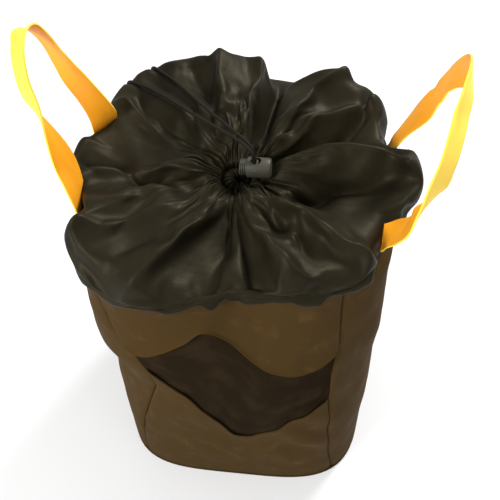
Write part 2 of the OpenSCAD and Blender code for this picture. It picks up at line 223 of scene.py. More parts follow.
def carried(line):
    """Each point of a line with two directions square to it, which don't twist."""
    side = Vector((0.3, 0.9, 0.2))
    out = []
    for i, point in enumerate(line):
        ahead = (line[min(i + 1, len(line) - 1)] - line[max(i - 1, 0)]).normalized()
        side = (side - side.dot(ahead) * ahead).normalized()
        out.append((point, side, ahead.cross(side)))
    return out


def tube(name, line, radius, material, sides=14, swell=lambda w, around: 1):
    """A round tube along a line. swell(w, around) makes it thicker or thinner in places."""
    rings = carried(line)
    lengths = [0]
    for a, b in zip(line, line[1:]):
        lengths.append(lengths[-1] + (b - a).length)

    def place(u, w):
        i = min(round(w * (len(rings) - 1)), len(rings) - 1)
        point, a, b = rings[i]
        around = 2 * pi * u
        return point + radius * swell(w, around) * (cos(around) * b + sin(around) * a)

    flat = (2 * pi * radius * 0.001, lengths[-1] * 0.001)
    return lay(name, sides, len(line) - 1, place, flat, material, ring=True, caps=True)


def braided_cord(name, colour, dark, girth, pitch):
    """Round braid: strands of thread that cross on the slant."""
    made, shader, start = finish(name, 0.7, 0.1, 0.01)
    point, around, along = flat_cloth(start)
    turns = around * (2 * pi * 4 / girth)
    run = along * (2 * pi / pitch)
    crossing = (turns + run).math("SINE") * (turns - run).math("SINE")
    thread = (turns * 6 + run * 2).math("SINE")
    height = crossing + thread * 0.2
    tone = (crossing * 0.5 + 0.5) * 0.75 + speckle(point, 400) * 0.4
    coat_with(shader, tone.colours(dark, colour), None, height, 0.7, 0.0003)
    return made


cord_cloth = braided_cord(
    "cord_braid", sRGB(30, 26, 21), sRGB(8, 7, 5), 0.0094, 0.005)

throat = Vector((8, -16, 370))
turn_r, throat_r, strand_y = 8.5, 12, 1.7
exit_half_angle = radians(41.95)
straight_end = 33.5


def turned_up(side):
    """The quarter turn from the casing up to the lock, for the back (1) or front (-1) strand."""
    line = []
    for angle in (0, 22.5, 45, 67.5, 90):
        run = turn_r * sin(radians(angle))
        line.append((
            throat_r * cos(exit_half_angle) + run * sin(exit_half_angle),
            side * (throat_r * sin(exit_half_angle) - run * cos(exit_half_angle)),
            turn_r * (1 - cos(radians(angle)))))
    strand_x = line[-1][0]
    return line + [(strand_x, side * strand_y, 21), (strand_x, side * strand_y, straight_end)]


back_route = turned_up(1) + [
    (13.6, 2.7, 37), (11, 5.5, 39.5), (6, 10.5, 40.5), (-2, 18.5, 40), (-14, 31, 38.5),
    (-30, 47, 37), (-46, 64, 35.5), (-58, 77, 34.5), (-70, 90, 32.5), (-82, 102, 30.5),
    (-92, 112.5, 27.5), (-98, 119, 23.5), (-100.5, 121.5, 16), (-100.5, 121.5, 0),
    (-100, 121, -50), (-100.5, 121.5, -100), (-103, 123, -150), (-109, 125, -200),
    (-114, 126, -234)]
front_route = turned_up(-1) + [
    (13.4, -0.6, 37), (10.5, 1.7, 39.5), (5, 6, 40.5), (-4, 13, 40), (-16, 22, 39),
    (-32, 34, 37.5), (-48, 45.5, 36.5), (-62, 56, 36), (-75, 65.5, 35.5), (-88, 75.5, 33),
    (-100, 84.5, 30.5), (-110, 92, 27.5), (-117, 97.5, 23), (-120, 100, 15),
    (-120, 100, 0), (-119, 102, -50), (-117.5, 106, -100), (-116.5, 112, -150),
    (-116.5, 119, -200), (-116.5, 123.5, -234)]
strand_lines = {
    "back": [throat + p for p in through(back_route, 1.6)],
    "front": [throat + p for p in through(front_route, 1.6)],
}

# The overhand knot that joins the two ends, drawn down tight, with its two short tails
# sealed at their tips.
knot_centre = throat + Vector((-115.25, 124.75, -238.7))
knot_turn = Matrix.Rotation(radians(135), 3, "Z")


def knot_line():
    line = []
    for i in range(97):
        t = 2 * pi * i / 96
        line.append(knot_centre + knot_turn @ (1.33 * Vector((
            sin(t) + 2 * sin(2 * t), 1.15 * sin(3 * t), cos(t) - 2 * cos(2 * t)))))
    return line


def sealed(w, around):
    return 1.12 if w > 0.93 else 1


knot = tube("drawcord_knot_tied", knot_line(), 1.62, cord_cloth, 12)
tails = [
    tube(
        f"drawcord_tail_{name}",
        [knot_centre + knot_turn @ (
            Matrix.Rotation(radians(180 + side * 12), 3, "X")
            @ Vector((0, 0.5 * sin(i / 7), 2 + i * 0.98))) for i in range(20)],
        1.5, cord_cloth, 12, sealed)
    for name, side in (("left", -1), ("right", 1))]
for piece in [knot] + tails:
    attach(piece, "bag")
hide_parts("drawcord_knot")
for name, line in strand_lines.items():
    strand = tube(f"drawcord_{name}_length", line, 1.5, cord_cloth)
    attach(strand, "bag")
    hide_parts(f"drawcord_{name}_strand")
    length = sum((b - a).length for a, b in zip(line, line[1:])) * 0.001
    line[0] * 0.001
    [p * 0.001 for p in line]
    [knot] + tails if name == "back" else []


def finish_node(node, material):
    """Gives a CAD node that stays as it is its material."""
    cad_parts[node].data.materials.clear()
    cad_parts[node].data.materials.append(material)


finish_node("drawcord_ring", cord_cloth)

# ---- Window ----
# Tricot netting with fine upright ribs, let into the front behind both bands. It lets the
# rope dry, and its lower right corner is slack and wrinkled.

# The window and the walls share one slack shape: the front rim bows in, the left side has
# buckled above the middle, and the right side hangs in upright folds.

# The rim's centre, which stands a little off the base's, and the wall's lower and upper edge.
rim_x, rim_y = 8, -18
wall_foot, wall_top = 2.3, 365


def rise(z):
    """How far the wall has turned from the base's shape to the rim's at a height."""
    return min(1, max(0, z) / 325)


def bell(x):
    return exp(-x * x)


def soft_noise(x, y, z):
    return noise.noise(Vector((x, y, z)))


def ramp(x, low, high):
    """0 up to low, 1 from high, and an eased rise between them."""
    t = max(0, min(1, (x - low) / (high - low)))
    return t * t * (3 - 2 * t)


def bowed(angle, z):
    """How far the mouth stands in or out of round, which all the rim's pieces share."""
    around = angle if angle < 180 else angle - 360
    out = 5 * bell((around + 27) / 18) - 24 * bell((around + 82) / 22)
    return out * ramp(z, 215, 352) + 15 * bell((around + 136) / 21) * ramp(z, 150, 330)


def slack(angle, z):
    """How far the slack cloth stands in (-) or out (+) from the cut shape."""
    out = bowed(angle, z)
    left = angle % 360
    # the buckle across the left side, sharp along its crease
    across = (z - 205 - 6 * sin(radians(left * 3))) / 34
    out -= 8.5 * exp(-abs(across) * 1.3) * bell((left - 205) / 34)
    out += 3.5 * bell((z - 245) / 22) * bell((left - 214) / 16)
    # upright folds on the right side, from the rim to the middle
    fold = sin(radians(angle * 9 + 20 * sin(z / 38))) * bell((angle + 18) / 26)
    out += 4.2 * fold * ramp(z, 130, 280) * (1 - 0.6 * ramp(z, 345, wall_top))
    # slanting wrinkles towards the lower right corner of the front
    slant = (z - 95) * 0.82 + (angle + 60) * 2.1
    reach = bell((angle + 62) / 13) * bell((z - 118) / 52)
    out += 3.4 * reach * sin(slant / 8.5 + 0.8 * soft_noise(angle / 9, z / 40, 2))
    # the back and the rest, slack in long shallow waves
    far = bell((left - 90) / 44)
    out += 3.2 * far * sin(z / 31 + left / 16) * ramp(z, 20, 90) * (1 - ramp(z, 300, 350))
    out += 2.6 * soft_noise(angle / 26, z / 75, 5) * ramp(z, 0, 60)
    out += 0.9 * soft_noise(angle / 7, z / 30, 9) * ramp(z, 0, 40)
    return out * (1 - 0.75 * ramp(z, 352, wall_top) * (1 - bell((angle + 84) / 30)))


def wall_at(angle, z, offset=0):
    """The wall's outer face at an angle and height, or offset from it."""
    high = rise(z)
    square = 3.9 - 1.9 * high
    c, s = cos(radians(angle)), sin(radians(angle))
    r = (136 + 6 * high) * (abs(c) ** square + abs(s) ** square) ** (-1 / square)
    r += offset + slack(angle, z)
    return rim_x * high + r * c, rim_y * high + r * s, z


def on_wall(*points, top=1):
    """A smooth edge or seam through values given at even steps from 0 to top."""
    def at(u):
        place = max(0, min(0.9999, u / top)) * (len(points) - 1)
        return between(*neighbours(points, int(place)), place % 1)
    return at


# The angles of the front's seams at even steps up the wall. The buckle has drawn the left one
# towards the middle, and above it the rim's bulge carries it back.
front_left_seam = on_wall(
    -133, -132.5, -131, -128.5, -125, -121.5, -118, -119.5, -126, -132, -136, top=wall_top)
front_right_seam = on_wall(-47.5, -50, -50.5, -50, -46.5, -45, top=wall_top)


def back_right_seam(z):
    return 48 + 1.5 * sin(z / 70)


def back_left_seam(z):
    return 132 + 1.5 * sin(z / 55 + 1)


def edge_turned(u, w, wide, high, sides=(1, 1, 0, 0)):
    """How far a panel's edges turn in, on the left, right, bottom and top that are named."""
    gone = (u * wide, (1 - u) * wide, w * high, (1 - w) * high)
    return sum(-2.4 * exp(-d / 2.2) for d, on in zip(gone, sides) if on)


def denser_at_ends(u):
    return 0.5 - 0.5 * cos(pi * u) if 0 < u < 1 else u


def thicken(obj, thickness, offset=-1):
    """Gives a sheet its thickness in metres, inwards (-1) or to both sides (0)."""
    solid = obj.modifiers.new("thickness", "SOLIDIFY")
    solid.thickness, solid.offset = thickness, offset
    return solid


mean_wall_r = 0.145
wall_mm_a_degree = 2.45


def panel(name, node, left, right, low, high, material, columns, rows, sides, offset=0, lip=None):
    """A wall panel between two seams and two edges, which are functions of z and u."""
    flat = (
        radians(right(180) - left(180)) * mean_wall_r,
        sum(high(u / 8) - low(u / 8) for u in range(9)) / 9000)

    def place(u, w):
        u, w = 0.35 * u + 0.65 * denser_at_ends(u), 0.6 * w + 0.4 * denser_at_ends(w)
        z = low(u) + (high(u) - low(u)) * w
        angle = left(z) + (right(z) - left(z)) * u
        wide = abs(right(z) - left(z)) * wall_mm_a_degree
        stand = edge_turned(u, w, wide, high(u) - low(u), sides)
        stand += lip(u, w, z) if lip else 0
        return wall_at(angle, z, offset + stand)

    obj = lay(name, columns, rows, place, flat, material)
    thicken(obj, 0.0018)
    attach(obj, "bag")
    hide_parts(node)
    return obj


window_high = on_wall(288, 287, 297, 309, 323, 306, 278, 265, 260, 262, 272)
window_low = on_wall(252, 228, 206, 181, 152, 121, 122, 142, 162, 176, 184)


def netting(name):
    made, shader, start = finish(name, 0.9, 0.01)
    point, across, along = flat_cloth(start)
    ribs = (across * (2 * pi / 0.0034)).math("SINE")
    holes = (across * (2 * pi / 0.0013)).math("SINE") * (along * (2 * pi / 0.0021)).math("SINE")
    thread = (holes * 0.5 + ribs).within(-0.7, 1)
    dust = speckle(point, 45, 4).within(0.45, 0.7)
    # The holes are painted near black: painted shade of the inside, seen through an opaque sheet.
    tone = thread * 0.8 + dust * 0.35 - 0.08
    coat_with(
        shader, tone.colours(sRGB(4, 3, 1), sRGB(46, 36, 24)), None,
        ribs * 0.8 + holes * 0.4, 0.8, 0.0008)
    return made


def net_slack(u, w, z):
    corner = ramp(u, 0.5, 0.85) * (1 - ramp(w, 0.3, 0.75))
    crease = sin((z * 0.5 - u * 52) / 4.2) * corner * 1.5
    inner = ramp(u, 0, 0.1) * ramp(1 - u, 0, 0.1)
    return (crease + 1.2 * soft_noise(u * 5, z / 28, 3) + 0.6) * inner


window = panel(
    "window_netting", "mesh_window",
    lambda z: front_left_seam(z) - 2.2, lambda z: front_right_seam(z) + 2.2,
    lambda u: window_low(u) - 7, lambda u: window_high(u) + 7,
    netting("netting"), 110, 64, (0, 0, 0, 0), -2.9, net_slack)

# ---- Walls ----
# Foam-backed pack cloth: two bands in front, above and below the window, the sides and the
# back. They are sewn wrong side out at the corners, so that each seam is a sunk line.


def pack_cloth(name, light, dark):
    """Coated canvas: a plain weave of coarse threads with a dull sheen."""
    made, shader, start = finish(name, 0.85, 0.03, 0.01, sRGB(190, 150, 90), 0.45)
    point, across, along = flat_cloth(start)
    warp, weft = across * (2 * pi / 0.0012), along * (2 * pi / 0.0012)
    cross = warp.math("SINE") * weft.math("SINE")
    slub = speckle(point, 900, 2, (6, 1, 1)) + speckle(point, 900, 2, (1, 6, 1))
    tone = speckle(point, 14, 4) * 1.5 + slub * 0.35 + cross * 0.07 - 0.6
    rub = speckle(point, 60, 5).within(0.56, 0.72) * 0.25
    coat_with(
        shader, (tone.math("MINIMUM", 1) + rub).colours(dark, light),
        0.86 - speckle(point, 30) * 0.3, cross * 0.7 + slub * 0.8, 0.55, 0.00025)
    return made


wall_cloth = pack_cloth("pack_cloth", sRGB(79, 60, 31), sRGB(40, 28, 10))


def foot(u):
    return wall_foot


def mouth(u):
    return wall_top


def upper_lip(u, w, z):
    """The free edge stands off the window, most at the fold near its left end."""
    return (2.6 + 3.0 * bell((u - 0.12) / 0.1)) * exp(-w * 6) + 0.9 * exp(-w * 60)


def lower_lip(u, w, z):
    return 0.8 * exp(-(1 - w) * 7) * (1 - ramp(u, 0.5, 0.8)) + 0.4 * exp(-(1 - w) * 50)


panel(
    "front_upper_band", "front_upper_panel", front_left_seam, front_right_seam,
    window_high, mouth, wall_cloth, 110, 60, (1, 1, 0, 0), 0, upper_lip)
panel(
    "front_lower_band", "front_lower_panel", front_left_seam, front_right_seam,
    foot, window_low, wall_cloth, 110, 64, (1, 1, 1, 0), 0, lower_lip)
panel(
    "left_side_cloth", "left_side_panel", back_left_seam, lambda z: front_left_seam(z) + 360,
    foot, mouth, wall_cloth, 96, 130, (1, 1, 1, 0))
panel(
    "right_side_cloth", "right_side_panel", front_right_seam, back_right_seam,
    foot, mouth, wall_cloth, 110, 120, (1, 1, 1, 0))
panel(
    "back_cloth", "back_panel", back_right_seam, back_left_seam,
    foot, mouth, wall_cloth, 90, 120, (1, 1, 1, 0))

# ---- Base ----
# The same cloth, sewn in round its edge. A stiff plastic board lies loose on it and keeps it
# flat.
bm = bmesh.new()
bmesh.ops.create_circle(bm, cap_ends=True, segments=144, radius=1)
for vert in bm.verts:
    x, y, z = wall_at(degrees(atan2(vert.co.y, vert.co.x)), 0)
    vert.co = Vector((x, y, z)) * 0.001
upper = bmesh.ops.extrude_face_region(bm, geom=bm.faces[:])
bmesh.ops.translate(
    bm, vec=(0, 0, 0.002),
    verts=[v for v in upper["geom"] if isinstance(v, bmesh.types.BMVert)])
bmesh.ops.recalc_face_normals(bm, faces=bm.faces)
bmesh.ops.bevel(
    bm, geom=[e for e in bm.edges if e.calc_face_angle(0) > 1], offset=0.0006,
    offset_type="OFFSET", affect="EDGES", segments=3, profile=0.5, material=-1)
cut = bm.loops.layers.uv.new("cut")
for face in bm.faces:
    face.smooth = len(face.verts) == 4
    for loop in face.loops:
        loop[cut].uv = (loop.vert.co.x, loop.vert.co.y + loop.vert.co.z)
base = piece_of("base_cloth", bm, wall_cloth)
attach(base, "bag")
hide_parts("base_panel")


def hard_board(name):
    made, shader, start = finish(name, 0.5, 0.4)
    point = start.node("TexCoord", out=3)
    grain = speckle(point, 220, 4)
    scuffs = speckle(point, 35, 6, (8, 1, 1)).within(0.55, 0.65)
    coat_with(
        shader, (grain * 0.7 + scuffs * 0.4).colours(sRGB(38, 37, 35), sRGB(86, 84, 80)),
        0.45 + grain * 0.3, grain + scuffs, 0.3, 0.0002)
    return made


finish_node("base_board", hard_board("base_board_plastic"))

# ---- Binding tapes and hoop ----
# Grosgrain tape binds the raw edges inside: round the base seam, up each corner and round the
# mouth. A sprung hoop in its own sleeve holds the mouth open.


def grosgrain(name, light, dark, rib):
    """Narrow tape with fine ribs across its width."""
    made, shader, start = finish(name, 0.7, 0.15, 0.04)
    point, across, along = flat_cloth(start)
    ribs = (across * (2 * pi / rib)).math("SINE")
    tone = ribs * 0.3 + speckle(point, 300) * 0.8
    coat_with(shader, tone.colours(dark, light), None, ribs, 0.5, 0.0002)
    return made


tape_cloth = grosgrain("binding_tape", sRGB(30, 27, 22), sRGB(10, 9, 8), 0.0011)
mean_tape_r = 0.14
corner_foot, corner_length = 22.5, 301


def tape(name, node, columns, rows, place, flat):
    """A length of the binding tape, laid over place(u, w)."""
    strip = lay(name, columns, rows, place, flat, tape_cloth)
    thicken(strip, 0.0012)
    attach(strip, "bag")
    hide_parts(node)


for name, node, low, high, offset, rows in (
    ("mouth_binding", "rim_tape", 337.5, 361.5, -5.9, 8),
    ("base_binding", "base_seam_tape", 5.9, 21.6, -2.9, 6),
):
    def band(u, w, low=low, high=high, offset=offset):
        return wall_at(
            360 * u - 180, low + (high - low) * w, offset - 0.35 * (abs(2 * w - 1) ** 6))

    tape(name, node, 220, rows, band, (2 * pi * mean_tape_r, (high - low) * 0.001))
for name, seam in (
    ("front_left", front_left_seam), ("front_right", front_right_seam),
    ("back_right", back_right_seam), ("back_left", back_left_seam),
):
    def corner(u, w, seam=seam):
        z = corner_foot + corner_length * w
        return wall_at(seam(z) + (u - 0.5) * 5.6, z, -5.8 - 1.2 * (1 - abs(2 * u - 1)))

    tape(f"corner_binding_{name}", "corner_seam_tapes", 6, 70, corner, (0.014, 0.302))


hoop_r, hoop_z, hoop_steps = 130.6, 349, 180


def ring_tube(name, node, radius, material, swell):
    """A closed tube round the mouth, which is bowed as the rim is."""
    line = []
    for i in range(hoop_steps):
        angle = 360 * i / hoop_steps - 180
        reach = hoop_r + bowed(angle, hoop_z)
        line.append(Vector((
            rim_x + reach * cos(radians(angle)), rim_y + reach * sin(radians(angle)), hoop_z)))

    def place(u, w):
        i = round(w * hoop_steps) % hoop_steps
        out = (line[i] - Vector((rim_x, rim_y, hoop_z))).normalized()
        around = -2 * pi * u
        size = radius * swell(2 * pi * i / hoop_steps, around)
        return line[i] + size * (cos(around) * out + sin(around) * Vector((0, 0, 1)))

    flat = (2 * pi * radius * 0.001, 2 * pi * hoop_r * 0.001)
    ring = lay(name, 14, hoop_steps, place, flat, material, ring=True)
    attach(ring, "bag")
    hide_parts(node)


ring_tube(
    "hoop_sleeve_cloth", "hoop_sleeve", 4.0, tape_cloth,
    lambda along, around: 1 + 0.03 * sin(along * 61) * cos(around))


def steel(name, metallic, scale, dark, light, smooth, uneven):
    """Drawn wire, brighter and duller in fine grains."""
    made, shader, start = finish(name, 0.3)
    shader.inputs["Metallic"].default_value = metallic
    grain = speckle(start.node("TexCoord", out=3), scale)
    coat_with(shader, grain.colours(dark, light), smooth + grain * uneven)
    return made


hoop_steel = steel("sprung_hoop", 0.9, 500, sRGB(120, 120, 122), sRGB(190, 190, 192), 0.25, 0.3)
ring_tube("sprung_hoop", "rim_hoop", 2.5, hoop_steel, lambda along, around: 1)

# ---- Closure skirt ----
# Thin coated nylon, sewn inside the mouth and gathered to the drawcord. It puffs into lobes
# over the rim with deep creases between them that run in to the throat.

# Round the throat, in degrees: the radius and height of each spoke's shoulder, then its
# heights at three quarters, a half and three tenths of that radius.
spokes = [
    (-175, 145, 392, 396, 393, 388), (-162, 140, 392, 398, 394, 388),
    (-151, 151, 404, 416, 404, 391), (-136, 160, 382, 403, 401, 391),
    (-120, 155, 374, 399, 401, 392), (-108, 146, 372, 391, 394, 389),
    (-96, 139, 371, 378, 378, 378), (-84, 137, 371, 376, 376, 378),
    (-76, 137, 372, 379, 382, 382), (-64, 141, 375, 396, 400, 392),
    (-52, 144, 374, 392, 389, 384), (-36, 148, 376, 396, 393, 386),
    (-20, 140, 380, 385, 380, 378), (-4, 157, 392, 394, 384, 380),
    (8, 157, 398, 403, 402, 391), (19, 140, 388, 387, 386, 385),
    (34, 152, 402, 404, 399, 390), (50, 148, 404, 409, 405, 392),
    (60, 142, 405, 408, 402, 391), (71, 128, 396, 396, 389, 384),
    (79, 120, 390, 387, 386, 384), (88, 134, 402, 406, 402, 392),
    (105, 145, 402, 408, 402, 393), (122, 153, 397, 407, 404, 393),
    (140, 155, 397, 406, 402, 391), (152, 148, 390, 399, 396, 388),
    (161, 138, 384, 390, 388, 386), (172, 146, 398, 400, 393, 387)]
leg_angles = (161, 203, -23, 19)


def apart(a, b):
    return abs((a - b + 180) % 360 - 180)


def spoke_at(angle):
    """A spoke's values at any angle, eased between the ones beside it."""
    spots = [s[0] for s in spokes]
    angle = (angle + 180) % 360 - 180
    count = len(spokes)
    i = max((k for k in range(count) if spots[k] <= angle), default=count - 1)
    start, end = spots[i], spots[(i + 1) % count]
    t = ((angle - start) % 360) / ((end - start) % 360)
    a, b = spokes[i], spokes[(i + 1) % count]
    before, after = spokes[i - 1], spokes[(i + 2) % count]
    return [between(*values, t) for values in zip(before[1:], a[1:], b[1:], after[1:])]


# Folds that stand up (+) or sink in (-): height, half width, then radius and angle along each.
folds = [
    (9, 9, [(24, -93), (64, -106), (92, -112), (119, -115), (150, -117)]),
    (10, 8, [(24, -78), (70, -72), (95, -68), (118, -64), (140, -58)]),
    (-7, 9, [(24, -86), (70, -92), (96, -94), (130, -96)]),
    (-6, 6, [(40, -76), (91, -76), (112, -76), (134, -77)]),
    (6, 5, [(28, -59), (57, -47), (77, -45), (87, -50), (92, -54)]),
    (8, 7, [(34, -54), (60, -46), (85, -40), (117, -38), (148, -34)]),
    (-9, 9, [(24, -48), (45, -40), (66, -18), (98, -4), (140, 1)]),
    (8, 8, [(28, 22), (50, 16), (83, 12), (122, 7), (155, 2)]),
    (-9, 6, [(28, 18), (65, 20), (93, 25), (120, 31), (150, 38)]),
    (9, 8, [(27, 43), (65, 51), (108, 53), (140, 50)]),
    (6, 6, [(50, 34), (80, 37), (104, 35), (150, 33)]),
    (-12, 8, [(22, 62), (61, 76), (90, 79), (125, 79)]),
    (7, 8, [(28, 92), (69, 86), (121, 86), (135, 87)]),
    (8, 7, [(24, 112), (48, 110), (90, 107), (132, 105)]),
    (-5, 6, [(40, 128), (64, 124), (92, 119), (130, 117)]),
    (-6, 6, [(30, 152), (64, 147), (87, 142), (122, 140)]),
    (5, 6, [(30, 168), (64, 160), (100, 154), (135, 150)]),
    (-8, 7, [(24, -142), (50, -150), (77, -168), (103, -178), (130, -179)]),
    (7, 7, [(26, 178), (54, -172), (92, -175), (119, -172), (140, -166)]),
    (6, 8, [(24, -120), (50, -128), (98, -137), (125, -139), (150, -146)]),
    (-5, 7, [(24, -108), (50, -118), (90, -127), (125, -129)]),
]


def fold_angle(points, r):
    if r <= points[0][0]:
        return points[0][1]
    for (r0, a0), (r1, a1) in zip(points, points[1:]):
        if r <= r1:
            t = (r - r0) / (r1 - r0)
            return a0 + ((a1 - a0 + 180) % 360 - 180) * t * t * (3 - 2 * t)
    return points[-1][1]


def folded(angle, r):
    """How far the folds lift the cloth at a point of the plan."""
    lift = 0
    for height, half, points in folds:
        last = points[-1][0]
        fade = ramp(r, 16, 40) * (1 - ramp(r, last, last + 14))
        d = radians(apart(angle, fold_angle(points, r))) * r
        if d < 5 * half:
            lift += 1.9 * height * fade / (1 + (d / half) ** 2) ** 1.25
    return lift


def gathers(angle, r):
    """The fine pleats that close round the neck."""
    shrink = 1 - ramp(r, 20, 62)
    wave = cos(radians(angle * 28 + 40 * sin(radians(angle * 5)))) 
    wave += 0.7 * cos(radians(angle * 19 + 60)) * ramp(r, 18, 40)
    return wave * shrink * (2.6 if r > 17 else 1.4)


def on_curve(points, w):
    """The values at w, from 0 to 1, along a smooth line through even steps."""
    place = max(0, min(0.99999, w)) * (len(points) - 1)
    return [between(*values, place % 1) for values in zip(*neighbours(points, int(place)))]


def skirt_profile(angle):
    """Radius from the rim's centre and height, from the hem inside the mouth to the throat."""
    reach, shoulder, outer, middle, inner = spoke_at(angle)
    free = min(1, max(0, min(apart(angle, leg) for leg in leg_angles) - 8) / 5)
    free = free * free * (3 - 2 * free)
    bow = bowed(angle, wall_top)
    pucker = 0.7 * sin(radians(angle * 23 + 70 * sin(radians(angle * 3))))
    pucker += 1.9 * soft_noise(14 * cos(radians(angle)), 14 * sin(radians(angle)), 1)
    drop = (1.5 + 2.4 * pucker) * free
    over = (3.5 + 1.2 * pucker) * free
    edge = 137.6 + bow
    reach = reach + bow * (0.75 if bow < 0 else 0.1)
    low = min(reach, 136.5 + 60 * free)
    return [
        (edge, 337), (edge, 352), (edge, 364.5),
        (edge + over * 0.7, 368.2), (edge + over + 3.2 * free, 366.5 - drop * 0.3),
        (edge + over + 4.6 * free, 363.5 - drop),
        (edge + over + 6.5 * free, 364.5 - drop),
        (max(edge, low + 1.0 * free), 370 + (shoulder - 370) * 0.25),
        (low + 1.5 * free, 370 + (shoulder - 370) * 0.75),
        (low - 3, shoulder + 4), (low * 0.9, (shoulder + outer) / 2 + 4),
        (low * 0.75, outer), (low * 0.62, (outer + middle) / 2), (low * 0.5, middle),
        (low * 0.4, (middle + inner) / 2 + 1), (low * 0.3, inner), (29, inner - 2),
        (22, inner - 6), (17.5, 376), (15.8, 370.5)]


def skirt_place(u, w):
    angle = 360 * u - 180
    r, z = on_curve(skirt_profile(angle), w)
    if w > 0.36:
        lift = folded(angle, r) * ramp(w, 0.36, 0.5)
        lift += 3.0 * soft_noise(cos(radians(angle)) * r / 22, sin(radians(angle)) * r / 22, 7) * (
            ramp(w, 0.4, 0.6) * ramp(r, 20, 50))
        z += lift + gathers(angle, r)
    centre_y = rim_y + 2 * max(0, min(1, (137 - r) / 120))
    return rim_x + r * cos(radians(angle)), centre_y + r * sin(radians(angle)), z


def coated_nylon(name):
    """Thin plain-weave nylon with a dull shine and tiny creases where it was crushed."""
    made, shader, start = finish(name, 0.48, 0.15, 0, None, 0.35)
    shader.inputs["Specular Tint"].default_value = sRGB(225, 212, 170)
    point, across, along = flat_cloth(start)
    cross = (across * (2 * pi / 0.0008)).math("SINE") * (along * (2 * pi / 0.0008)).math("SINE")
    solid = start.node("TexCoord", out=3)
    crush = speckle(solid, 90, 5)
    creases = 1 - (speckle(solid, 45, 3) - 0.5).math("ABSOLUTE") * 14
    pleats = 1 - (speckle(point, 42, 2, (1, 7, 1)) - 0.5).math("ABSOLUTE") * 9
    tone = speckle(solid, 22, 4) * 1.2 + cross * 0.04 - 0.15
    coat_with(
        shader, tone.colours(sRGB(7, 6, 4), sRGB(40, 36, 25)),
        0.43 + crush * 0.16,
        crush * 0.6 + creases.math("MAXIMUM", 0) * 0.2 + pleats.math("MAXIMUM", 0) * 1.3
        + cross * 0.1, 0.6, 0.0016)
    return made


skirt_cloth = coated_nylon("coated_nylon")
skirt_columns, skirt_rows = 240, 50


def skirt_as_cut(u, w):
    """The cloth before it is drawn up: a tapered tube that is far wider than the throat."""
    r = 137.6 - 96 * ramp(w, 0.3, 1.05)
    return r * cos(2 * pi * u), r * sin(2 * pi * u), 198 * w


skirt = lay(
    "closure_skirt_cloth", skirt_columns, skirt_rows, skirt_place, (0.866, 0.205), skirt_cloth,
    ring=True)


def settle(obj, cut_place, held, frames):
    """Lets cloth find its own folds from the size it was cut to. held(z) is how firmly the
    height z of the cut cloth is sewn down."""
    cut = lay("cut", skirt_columns, skirt_rows, cut_place, (1, 1), skirt_cloth, ring=True)
    obj.shape_key_add(name="drawn_up")
    rest = obj.shape_key_add(name="cut")
    sewn = obj.vertex_groups.new(name="sewn")
    for i, vert in enumerate(cut.data.vertices):
        rest.data[i].co = vert.co
        sewn.add([i], held(vert.co.z), "REPLACE")
    bpy.data.objects.remove(cut)
    cloth = obj.modifiers.new("settle", "CLOTH")
    made = cloth.settings
    made.quality, made.mass, made.air_damping = 6, 0.1, 4
    made.tension_stiffness, made.compression_stiffness, made.shear_stiffness = 12, 6, 4
    made.bending_stiffness, made.pin_stiffness = 0.04, 1
    made.vertex_group_mass, made.rest_shape_key = "sewn", rest
    made.effector_weights.gravity = 0.25
    cloth.collision_settings.use_collision = False
    cloth.collision_settings.use_self_collision = True
    cloth.collision_settings.self_distance_min = 0.001
    for step in range(1, frames + 1):
        scene.frame_set(step)
    graph = bpy.context.evaluated_depsgraph_get()
    folded_mesh = bpy.data.meshes.new_from_object(obj.evaluated_get(graph))
    places = [vert.co.copy() for vert in folded_mesh.vertices]
    obj.modifiers.clear()
    obj.shape_key_clear()
    obj.vertex_groups.clear()
    bpy.data.meshes.remove(folded_mesh)
    scene.frame_set(1)
    for vert, place in zip(obj.data.vertices, places):
        vert.co = place


settle(skirt, skirt_as_cut, lambda z: 1 if z < 0.05 or z > 0.192 else 0.4 * (z < 0.066), 16)

# It lies close under both strands of the cord, and clear of the lock under and beside it, with
# room for the button on its left.
skirt_z, lying_z, lying_x = 372, 380, 16
cord_under, beside_cord = 1.9, 22
lock_left, lock_right, lock_z, lock_clear_r = throat.x + 1.4, throat.x + 30.5, throat.z + 18, 9.9
runs = [p for line in strand_lines.values() for p in line if p.z > lying_z and p.x < lying_x]
near_run = kdtree.KDTree(len(runs))
for i, p in enumerate(runs):
    near_run.insert((p.x, p.y, 0), i)
near_run.balance()
for vert in skirt.data.vertices:
    spot = vert.co * 1000
    if spot.z < skirt_z:
        continue
    found, i, d = near_run.find((spot.x, spot.y, 0))
    if d < beside_cord:
        under = runs[i].z - cord_under
        bridged = 30 * (1 - ramp(hypot(runs[i].x - throat.x, runs[i].y - throat.y), 35, 75))
        high, low = under + 0.12 * d * d, under - 0.6 - 0.055 * d * d - bridged
        spot.z = min(high, max(low, spot.z))
    aside = abs(spot.y - throat.y)
    beyond = max(0, lock_left - spot.x, spot.x - lock_right) + max(0, aside - lock_clear_r)
    under_lock = lock_z - sqrt(max(0, lock_clear_r ** 2 - aside ** 2)) + 2.2 * beyond
    vert.co.z = 0.001 * min(spot.z, under_lock)
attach(skirt, "bag")
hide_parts("closure_skirt", "skirt_hem")
smoother = skirt.modifiers.new("smooth", "SUBSURF")
smoother.levels = smoother.render_levels = 1
thicken(skirt, 0.0005)


def casing_place(u, w):
    """The skirt's edge at the neck, turned over the drawcord and drawn up into ruffles."""
    turn = 8 + w * 344
    out = Vector((cos(radians(turn)), sin(radians(turn)), 0))
    around = 2 * pi * u
    empty = 1 - ramp(apart(turn, 0), 34, 44)
    ruffle = 1 + 0.2 * cos(radians(turn * 27)) + 0.12 * cos(radians(turn * 41 + 30))
    size = (5.2 - 2 * empty) * ruffle
    middle = throat + (9.3 - empty) * out - Vector((0, 0, 4.5 * empty))
    return middle - size * cos(around) * out + 0.75 * size * sin(around) * Vector((0, 0, 1))


